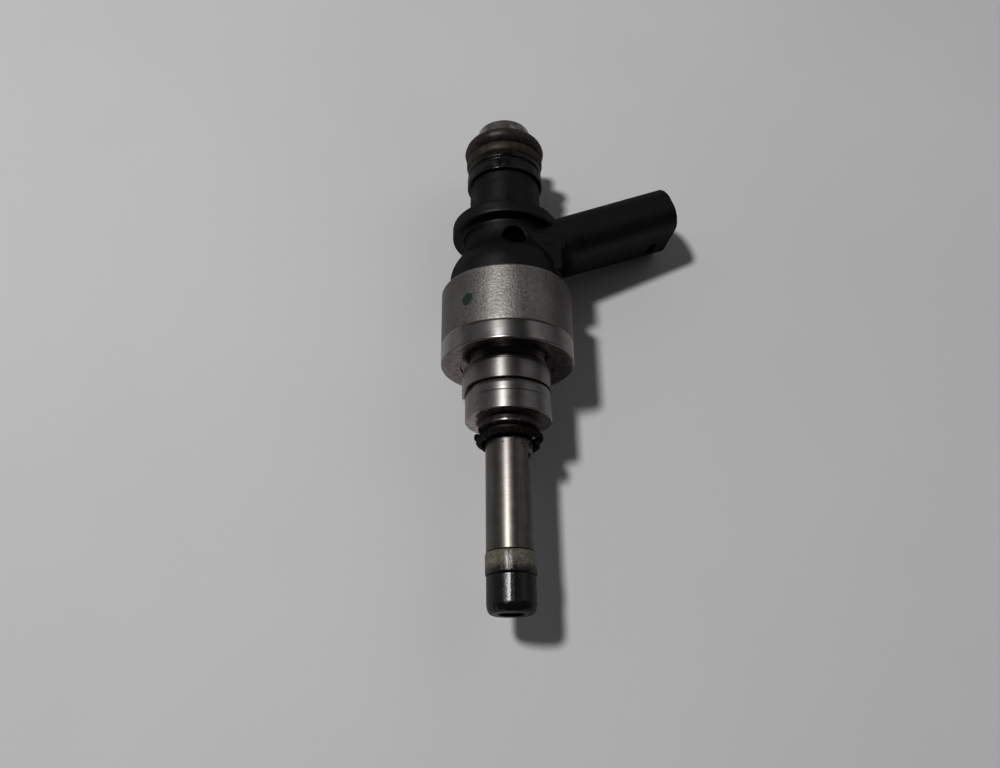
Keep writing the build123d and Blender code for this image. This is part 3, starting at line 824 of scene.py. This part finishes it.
def make_support_ring(steel):
    """Split ring, swept as a thin section round its own centre, with the hanging tab."""
    low_corner, high_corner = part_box("support_ring")
    centre = Vector((-RING_SHIFT * math.cos(ROLL), 0, RING_SHIFT * math.sin(ROLL)))
    tab_low, top = low_corner.y / MM, high_corner.y / MM
    outer = high_corner.x / MM - centre.x
    gap_at = math.radians(270) - ROLL
    gap_half = SLIT_W / 2 / outer
    bm = bmesh.new()
    sweep = math.tau - 2 * gap_half
    steps = 170
    rings = []
    for i in range(steps + 1):
        angle = gap_at + gap_half + sweep * i / steps
        turn = angle % math.tau + ROLL
        hangs = min(1, max(0, min(turn - TAB_FROM, TAB_TO - turn) / TAB_FADE))
        bottom = SUPPORT_LOW + (tab_low - SUPPORT_LOW) * hangs
        thick = outer - SUPPORT_IN_R
        section = rounded([
            (SUPPORT_IN_R, SUPPORT_LOW, 0.08),
            (outer - TAB_TOP_T, SUPPORT_LOW - 0.001, 0.02),
            (outer - TAB_T, bottom, 0.02 + 0.04 * hangs),
            (outer, bottom - 0.001, 0.05),
            (outer, top, 0.16),
            (SUPPORT_IN_R + 0.2 * thick, top, 0.08),
            (SUPPORT_IN_R, top - 0.15, 0.05),
        ], steps=3)
        way = Vector((math.cos(angle), 0, math.sin(angle)))
        rings.append([bm.verts.new(centre + way * r + Vector((0, y, 0))) for r, y in section])
    for one, two in zip(rings, rings[1:]):
        for k in range(len(one)):
            n = (k + 1) % len(one)
            bm.faces.new((one[k], one[n], two[n], two[k]))
    bm.faces.new(rings[0])
    bm.faces.new(rings[-1])
    ring = dress(weighted(finish_mesh("support_ring_split", bm, sharp=50)), steel)
    settle(ring, "support_ring", "turned_steel", "support_ring")


def make_inlet_tube(steel):
    low, high, _ = reach("inlet_tube")
    corners = [
        (CHAMBER_R, low, 0),
        (TUBE_LOW_R, low, 0.1),
        (TUBE_LOW_R, TUBE_STEP, 0.2),
        (TUBE_R, TUBE_STEP, 0.1),
        (TUBE_R, RIM_LOW, 0.15),
        (RIM_R, RIM_LOW, 0.2),
        (RIM_R, high, 0.32),
        (FILTER_BORE_R + 0.35, high, 0.2),
        (FILTER_BORE_R, high - 0.4, 0.1),
        (FILTER_BORE_R, FILTER_LOW, 0),
        (FUEL_BORE_R, FILTER_LOW - 0.6, 0),
        (FUEL_BORE_R, POLE_TOP, 0),
        (CHAMBER_R, POLE_TOP, 0),
    ]
    tube = dress(turned("inlet_tube_turned", corners), steel)
    settle(tube, "housing", "turned_steel", "inlet_tube")


# ---- rings and seals
def make_o_ring(rubber):
    low_corner, high_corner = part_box("o_ring")
    wire = (high_corner.y - low_corner.y) / 2 / MM
    middle = (high_corner.y + low_corner.y) / 2 / MM
    mean = (high_corner.x - low_corner.x) / 2 / MM - wire
    flash_h, flash_w, sides = 0.045, 0.05, 48
    outline = []
    for k in range(sides):
        angle = math.tau * k / sides
        flash = flash_h * math.exp(-((math.sin(angle) / flash_w) ** 2))
        reach_out = wire - flash_h + flash
        outline.append(Vector((mean + reach_out * math.cos(angle), middle + wire * math.sin(angle))))

    def swell(spot):
        away = Vector((spot.x, 0, spot.z)).normalized()
        return away * (0.03 * noise.noise(spot * 0.35) - 0.03)

    bm = lathe(outline, STEPS, swell)
    ring = dress(finish_mesh("o_ring_rubber", bm, sharp=60), rubber)
    settle(ring, "housing", "o_ring_rubber", "o_ring")


def make_backup_ring(plastic):
    low, high, radius = reach("backup_ring")
    corners = [
        (RING_IN_R, low, 0.1),
        (radius - 0.35, low, 0.3),
        (radius, low + 0.75, 0.4),
        (radius, high - 0.35, 0.25),
        (radius - 0.5, high, 0.2),
        (RING_IN_R, high, 0.1),
    ]

    def worn(spot):
        return Vector((0, 0.035 * noise.noise(spot * 0.6), 0))

    ring = dress(turned("backup_ring_turned", corners, wobble=worn), plastic)
    settle(ring, "housing", "backup_plastic", "backup_ring")


def make_spacer_ring(plastic):
    low, high, radius = reach("spacer_ring")
    height = high - low
    groove_r = radius - 0.42
    corners = [
        (RING_IN_R, low, 0),
        (radius, low, 0.2),
        (radius, low + 0.48 * height, 0.2),
        (groove_r, low + 0.54 * height, 0.12),
        (groove_r, low + 0.66 * height, 0.12),
        (radius - 0.1, low + 0.72 * height, 0.15),
        (radius - 0.12, high, 0.2),
        (RING_IN_R, high, 0),
    ]
    ring = dress(turned("spacer_ring_turned", corners), plastic)
    settle(ring, "housing", "spacer_plastic", "spacer_ring")


def make_combustion_seal(ptfe):
    low, high, radius = reach("combustion_seal")
    corners = [
        (SEAL_IN_R, low, 0.05),
        (radius, low, 0.28),
        (radius, high, 0.3),
        (SEAL_IN_R, high, 0.05),
    ]

    def creep(spot):
        """The ring has crept: faint ripples round it and a ragged lower edge."""
        away = Vector((spot.x, 0, spot.z)).normalized()
        ripple = 0.05 * noise.fractal(spot * 0.8, 0.7, 2.1, 4) - 0.035
        rag = 0.05 * noise.noise(spot * 2.5) if spot.y < low + 0.4 else 0
        return away * min(0, ripple) + Vector((0, abs(rag), 0))

    ring = dress(turned("combustion_seal_ptfe", corners, wobble=creep, steps=240), ptfe)
    settle(ring, "housing", "seal_ptfe", "combustion_seal")


def snap_path(count):
    """Centre line of the wire ring: about one and a half turns that widen towards the inlet."""
    low_corner, high_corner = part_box("wire_snap_ring")
    low_y = low_corner.y / MM + WIRE_R
    rise = (high_corner.y - low_corner.y) / MM - 2 * WIRE_R
    points = []
    for i in range(count):
        t = i / (count - 1)
        angle = math.tau * WIRE_TURNS * t
        radius = WIRE_LOW_R + (WIRE_HIGH_R - WIRE_LOW_R) * t
        flat = Vector((radius * math.cos(angle), 0, -radius * math.sin(angle)))
        flat.rotate(Matrix.Rotation(ROLL, 3, "Y"))
        points.append(flat + Vector((0, low_y + rise * t, 0)))
    return points


def make_snap_ring(crust):
    points = snap_path(260)

    def lumpy(here, away):
        spot = here + away * WIRE_R
        lump = noise.fractal(spot * 1.6, 0.9, 2.1, 5)
        fine = noise.noise(spot * 5.0)
        return WIRE_R * 0.93 + 0.12 * lump + 0.05 * fine

    bm = tube_along(points, lumpy, sides=28)
    ring = dress(finish_mesh("wire_snap_ring_crusted", bm, sharp=70), crust)
    settle(ring, "housing", "crusted_wire", "wire_snap_ring")


# ---- moulded body
def connector_matrix():
    """Columns: side (towards the inlet), up across the connector, outward along it."""
    across = OUTWARD.cross(Vector((0, 1, 0))).normalized()
    side = across.cross(OUTWARD).normalized()
    turn = Matrix((side, across, OUTWARD)).transposed().to_4x4()
    return Matrix.Translation(MOUTH) @ turn


def oval(height, width, distance, steps=10):
    """Points of a rounded section, a distance before the mouth (negative is inwards)."""
    corner = min(height, width) * ROUNDNESS
    points = []
    for quarter in range(4):
        sign_a = 1 if quarter in (0, 3) else -1
        sign_b = 1 if quarter in (0, 1) else -1
        for k in range(steps + 1):
            angle = math.pi / 2 * (quarter + k / steps)
            a = sign_a * (height / 2 - corner) + corner * math.cos(angle)
            b = sign_b * (width / 2 - corner) + corner * math.sin(angle)
            points.append(Vector((a, b, distance)))
    return points


def loft(sections):
    """A closed bmesh through sections that have equal numbers of points."""
    bm = bmesh.new()
    rings = [[bm.verts.new(point) for point in section] for section in sections]
    for one, two in zip(rings, rings[1:]):
        for k in range(len(one)):
            n = (k + 1) % len(one)
            bm.faces.new((one[k], one[n], two[n], two[k]))
    bm.faces.new(rings[0])
    bm.faces.new(rings[-1])
    return bm


def slab(low, high, matrix):
    """A box bmesh between two corners, moved by a matrix."""
    bm = bmesh.new()
    bmesh.ops.create_cube(bm, size=1)
    middle = (Vector(low) + Vector(high)) / 2
    size = Vector(high) - Vector(low)
    bmesh.ops.scale(bm, vec=size, verts=bm.verts)
    bmesh.ops.translate(bm, vec=middle, verts=bm.verts)
    bm.transform(matrix)
    return bm


def as_object(bm):
    """A plain object, still in millimetres, for modifiers to work on."""
    mesh = bpy.data.meshes.new("work")
    outward(bm)
    bm.to_mesh(mesh)
    bm.free()
    work = bpy.data.objects.new("work", mesh)
    bpy.context.scene.collection.objects.link(work)
    return work


def freeze(work):
    """Replaces an object's mesh by what its modifiers make."""
    graph = bpy.context.evaluated_depsgraph_get()
    mesh = bpy.data.meshes.new_from_object(work.evaluated_get(graph))
    work.modifiers.clear()
    work.data = mesh


def combine(work, other_bm, operation):
    """Joins or cuts one closed mesh with another."""
    other = as_object(other_bm)
    modifier = work.modifiers.new("boolean", "BOOLEAN")
    modifier.operation = operation
    modifier.solver = "EXACT"
    modifier.object = other
    freeze(work)
    bpy.data.objects.remove(other)


def body_core():
    low, _, _ = reach("moulded_body")
    neck_top, _, _ = reach("spacer_ring")
    corners = [
        (BODY_BORE_R, low, 0),
        (SHOULDER_R, low, 0.1),
        (SHOULDER_R, SHOULDER_TOP, 1.7),
        (BARREL_R, BARREL_LOW, 1.7),
        (BARREL_R, COLLAR_LOW, 0.35),
        (COLLAR_R, COLLAR_LOW, 0.35),
        (COLLAR_R, COLLAR_TOP, 0.4),
        (NECK_R, COLLAR_TOP, 0.4),
        (NECK_R, neck_top, 0.15),
        (TUBE_R, neck_top, 0),
        (TUBE_R, TUBE_STEP, 0),
        (BODY_BORE_R, TUBE_STEP, 0),
    ]
    return lathe(rounded(corners), 144)


def make_moulded_body(plastic):
    roll = Matrix.Rotation(ROLL, 4, "Y")
    seat = connector_matrix()
    length = MOUTH.x / OUTWARD.x
    back = ROOT_DISTANCE - length
    work = as_object(body_core())
    block = slab((BLOCK_IN, BLOCK_LOW, -BLOCK_HALF_W), (BLOCK_OUT, BLOCK_TOP, BLOCK_HALF_W), roll)
    combine(work, block, "UNION")
    shell = loft([
        oval(ROOT_H, ROOT_W, back - 3.0),
        oval(ROOT_H, ROOT_W, back),
        oval(MOUTH_H, MOUTH_W, 0),
    ])
    shell.transform(seat)
    combine(work, shell, "UNION")
    nub = slab(
        (MOUTH_H / 2 - 0.6, -NUB_W / 2, -NUB_BACK - NUB_LEN / 2),
        (MOUTH_H / 2 + NUB_H, NUB_W / 2, -NUB_BACK + NUB_LEN / 2), seat,
    )
    combine(work, nub, "UNION")
    inner_h, inner_w = MOUTH_H - 2 * SOCKET_WALL, MOUTH_W - 2 * SOCKET_WALL
    socket = loft([oval(inner_h, inner_w, -SOCKET_DEPTH), oval(inner_h, inner_w, 1.0)])
    socket.transform(seat)
    combine(work, socket, "DIFFERENCE")
    window = slab(
        (-MOUTH_H, -WINDOW_SIDE - WINDOW_W / 2, -WINDOW_BACK - WINDOW_LEN / 2),
        (-MOUTH_H / 2 + 2.0, -WINDOW_SIDE + WINDOW_W / 2, -WINDOW_BACK + WINDOW_LEN / 2), seat,
    )
    combine(work, window, "DIFFERENCE")
    outside = SHOULDER_R + 2.35
    corners = ((0, POCKET_FLOOR_R), (POCKET_R, POCKET_FLOOR_R), (POCKET_R, outside), (0, outside))
    pocket = lathe([Vector(corner) for corner in corners], 48)
    pocket.transform(
        Matrix.Rotation(ROLL + POCKET_TURN, 4, "Y")
        @ Matrix.Translation((0, POCKET_Y, 0))
        @ Matrix.Rotation(math.pi / 2, 4, "X")
    )
    combine(work, pocket, "DIFFERENCE")
    remesh = work.modifiers.new("remesh", "REMESH")
    remesh.mode = "VOXEL"
    remesh.voxel_size = VOXEL
    relax = work.modifiers.new("relax", "SMOOTH")
    relax.factor = 0.5
    relax.iterations = 4
    freeze(work)
    bm = bmesh.new()
    bm.from_mesh(work.data)
    bpy.data.objects.remove(work)
    body = dress(finish_mesh("moulded_body_black", bm, sharp=180), plastic)
    settle(body, "housing", "body_plastic", "moulded_body")


# ---- small marks
def on_cylinder(radius, degrees, y):
    """A point on a cylinder; degrees are measured from straight up towards +X."""
    angle = math.radians(degrees)
    return Vector((radius * math.sin(angle), y, radius * math.cos(angle)))


def make_paint_dab(paint):
    """A thin irregular dab on the case, thicker in its middle."""
    _, _, radius = reach("magnet_case")
    middle_y, middle_turn = 7.9, -35.3
    half_across, half_along = 1.15, 1.05
    bm = bmesh.new()
    rings = [[bm.verts.new(on_cylinder(radius + 0.05, middle_turn, middle_y))]]
    sides, loops = 48, 8
    for loop in range(1, loops + 1):
        share = loop / loops
        ring = []
        for k in range(sides):
            angle = math.tau * k / sides
            ragged = 1 + 0.22 * noise.noise(Vector((math.cos(angle), math.sin(angle), 4)) * 1.6)
            across = half_across * share * ragged * math.cos(angle)
            along = half_along * share * ragged * math.sin(angle)
            lift = 0.05 * (1 - share ** 4) - 0.01
            turn = middle_turn + math.degrees(across / radius)
            ring.append(bm.verts.new(on_cylinder(radius + lift, turn, middle_y + along)))
        rings.append(ring)
    for k in range(sides):
        bm.faces.new((rings[0][0], rings[1][k], rings[1][(k + 1) % sides]))
    for one, two in zip(rings[1:], rings[2:]):
        for k in range(sides):
            n = (k + 1) % sides
            bm.faces.new((one[k], two[k], two[n], one[n]))
    bm.faces.new(list(reversed(rings[-1])))
    dab = dress(finish_mesh("paint_dab", bm), paint)
    settle(dab, "housing", "case_steel")


def lump(bm, centre, size, seed):
    """One irregular grain: an icosphere pushed about by noise."""
    made = bmesh.ops.create_icosphere(bm, subdivisions=2, radius=size)
    for vert in made["verts"]:
        vert.co *= 1 + 0.45 * noise.noise(vert.co / size * 1.3 + Vector((seed, 0, 0)))
        vert.co += centre


def make_crust_flakes(crust):
    """Burnt grains stuck round the wire ring, the boss and the top of the shaft."""
    random.seed(11)
    _, _, shaft = reach("nozzle_body")
    low, high, _ = reach("wire_snap_ring")
    soot_turn, soot_top = 55, -15.8
    clot_turn, clot_r, clot_y = 68, 4.7, -13.8
    seam_from, seam_to = -10, 72
    bm = bmesh.new()
    # Scattered on the boss's lower end and the root of the shaft
    for i in range(44):
        turn = random.uniform(0, 360)
        y = random.uniform(low - 0.7, low + 0.5) if i % 3 else random.uniform(high - 0.2, high + 0.4)
        radius = shaft if i % 3 else BOSS_R
        size = random.uniform(0.05, 0.14)
        lump(bm, on_cylinder(radius + 0.3 * size, turn, y), size, i)
    # A short line of soot down the shaft
    for k in range(5):
        spot = on_cylinder(shaft + 0.02, soot_turn + random.uniform(-4, 4), soot_top - 0.14 * k)
        lump(bm, spot, 0.19 - 0.015 * k, 300 + k)
    # A clot on the side of the wire ring
    for k in range(9):
        spot = on_cylinder(clot_r, clot_turn + 1.8 * k, clot_y + random.uniform(-0.25, 0.25))
        lump(bm, spot, random.uniform(0.22, 0.36), 400 + k)
    # Grains in the seam under the support ring, larger at its end
    for k in range(80):
        y = REGISTER_TOP - random.uniform(0.03, 0.28)
        spot = on_cylinder(REGISTER_TOP_R + 0.02, random.uniform(seam_from, seam_to), y)
        lump(bm, spot, random.uniform(0.06, 0.11), 600 + k)
    for k in range(5):
        y = REGISTER_TOP - random.uniform(0.1, 0.2)
        spot = on_cylinder(REGISTER_TOP_R - 0.05, seam_to - 6 + 3 * k, y)
        lump(bm, spot, random.uniform(0.14, 0.17), 500 + k)
    flakes = dress(finish_mesh("crust_flakes", bm, sharp=180), crust)
    settle(flakes, "housing", "crusted_wire")


# ---- carried-over CAD nodes
def dress_hidden_nodes():
    """Materials for the CAD nodes that are shown as they are."""
    ground = bright_steel()
    spring = bright_steel("spring_wire", (0.42, 0.42, 0.44), 0.3)
    soft_iron = bright_steel("soft_iron", (0.44, 0.43, 0.42), 0.34)
    soot_and_shade = bright_steel("sooty_seat", (0.07, 0.062, 0.055), 0.4)
    looks = {
        ground: ["needle_guide", "valve_ball", "valve_needle", "upper_guide", "upper_stop_ring",
                 "lower_stop_ring", "calibration_sleeve", "isolating_ring"],
        soft_iron: ["armature", "pole_core", "cover_plate"],
        spring: ["return_spring", "armature_spring"],
        soot_and_shade: ["valve_seat"],
        brown_bobbin(): ["coil_bobbin"],
        copper_turns(): ["coil_winding"],
        tinned_blade(): ["terminal_pins"],
        filter_brass(): ["filter_frame"],
        filter_gauze(): ["filter_mesh"],
    }
    for material, nodes in looks.items():
        for node in nodes:
            dress(frame["nodes"][node], material)
    bevel = frame["nodes"]["terminal_pins"].modifiers.new("bevel", "BEVEL")
    bevel.width = 0.12 * MM
    bevel.segments = 2
    bevel.limit_method = "ANGLE"


# ---- stage, light and camera
# Radiance of the room and of its three brighter walls
ROOM = 0.055
RIGHT_WALL = 0.55
LEFT_WALL = 0.24
FAR_WALL = 0.22

# From the object towards the lamp: left of overhead, and a little towards the inlet
LIGHT_WAY = Vector((-0.37, 0.17, 0.92)).normalized()


def make_floor():
    half = 1.5
    mesh = bpy.data.meshes.new("table")
    z = cad_low.z
    mesh.from_pydata(
        [(-half, -half, z), (half, -half, z), (half, half, z), (-half, half, z)], [], [(0, 1, 2, 3)]
    )
    floor = bpy.data.objects.new("table", mesh)
    bpy.context.scene.collection.objects.link(floor)
    dress(floor, pale_table())


def make_world():
    """A dim room with a bright wall to the right, a paler one to the left and a dark gap between."""
    world = bpy.data.worlds.new("room")
    bpy.context.scene.world = world
    world.use_nodes = True
    n = Nodes(world.node_tree)
    way = n.add("ShaderNodeSeparateXYZ", Vector=n.add("ShaderNodeTexCoord").outputs["Generated"])
    turn = n.sum("ARCTAN2", way.outputs["X"], way.outputs["Z"])
    ahead = n.span(way.outputs["Y"], 0.05, 0.66, 0.12)
    rise = n.band(turn, math.radians(26), math.radians(31))
    fade = n.band(turn, math.radians(42), math.radians(105))
    right = n.times(n.times(rise, n.flip(fade)), RIGHT_WALL)
    left = n.times(n.span(turn, math.radians(-102), math.radians(-36), 0.1), LEFT_WALL)
    far = n.sum("MULTIPLY_ADD", n.band(way.outputs["Y"], 0.6, 0.85), FAR_WALL, ROOM)
    glow = n.sum("MULTIPLY_ADD", n.sum("ADD", right, left), ahead, far)
    colour = n.vector("SCALE", (1.0, 1.0, 1.02), scale=glow)
    back = n.add("ShaderNodeBackground", Color=colour)
    n.add("ShaderNodeOutputWorld", Surface=back.outputs["Background"])


def make_lamp():
    data = bpy.data.lights.new("ceiling_lamp", "AREA")
    data.shape = "DISK"
    data.size = 0.10
    data.energy = 3.9
    data.color = (1.0, 0.995, 0.985)
    lamp = bpy.data.objects.new("ceiling_lamp", data)
    lamp.location = LIGHT_WAY * 0.8
    lamp.rotation_mode = "QUATERNION"
    lamp.rotation_quaternion = LIGHT_WAY.to_track_quat("Z", "Y")
    bpy.context.scene.collection.objects.link(lamp)


def make_camera():
    """Looks down at the injector from the nozzle's side, nearly overhead."""
    target = Vector((-1.3, -3.0, 0)) * MM
    distance = 140.7 * MM
    from_vertical = math.radians(23.7)
    roll = math.radians(-0.72)
    data = bpy.data.cameras.new("camera")
    data.lens = 31.0
    data.sensor_width = 36.0
    data.clip_start = 0.005
    camera = bpy.data.objects.new("camera", data)
    back = Vector((0, -math.sin(from_vertical), math.cos(from_vertical)))
    camera.location = target + back * distance
    camera.rotation_mode = "QUATERNION"
    spin = Matrix.Rotation(from_vertical, 3, "X") @ Matrix.Rotation(roll, 3, "Z")
    camera.rotation_quaternion = spin.to_quaternion()
    bpy.context.scene.collection.objects.link(camera)
    bpy.context.scene.camera = camera


bright = turned_steel()
make_magnet_case(satin_case())
make_valve_body(bright)
make_nozzle(nozzle_steel())
make_support_ring(bright)
make_inlet_tube(inlet_steel())
make_o_ring(oily_rubber())
make_backup_ring(tan_ring())
make_spacer_ring(wet_spacer())
make_combustion_seal(stained_seal())
crust = oily_crust()
make_snap_ring(crust)
make_crust_flakes(crust)
make_moulded_body(moulded_black())
make_paint_dab(green_paint())
dress_hidden_nodes()
make_floor()
make_world()
make_lamp()
make_camera()
bpy.context.scene.view_settings.view_transform = "Standard"
bpy.context.scene.view_settings.gamma = 0.8
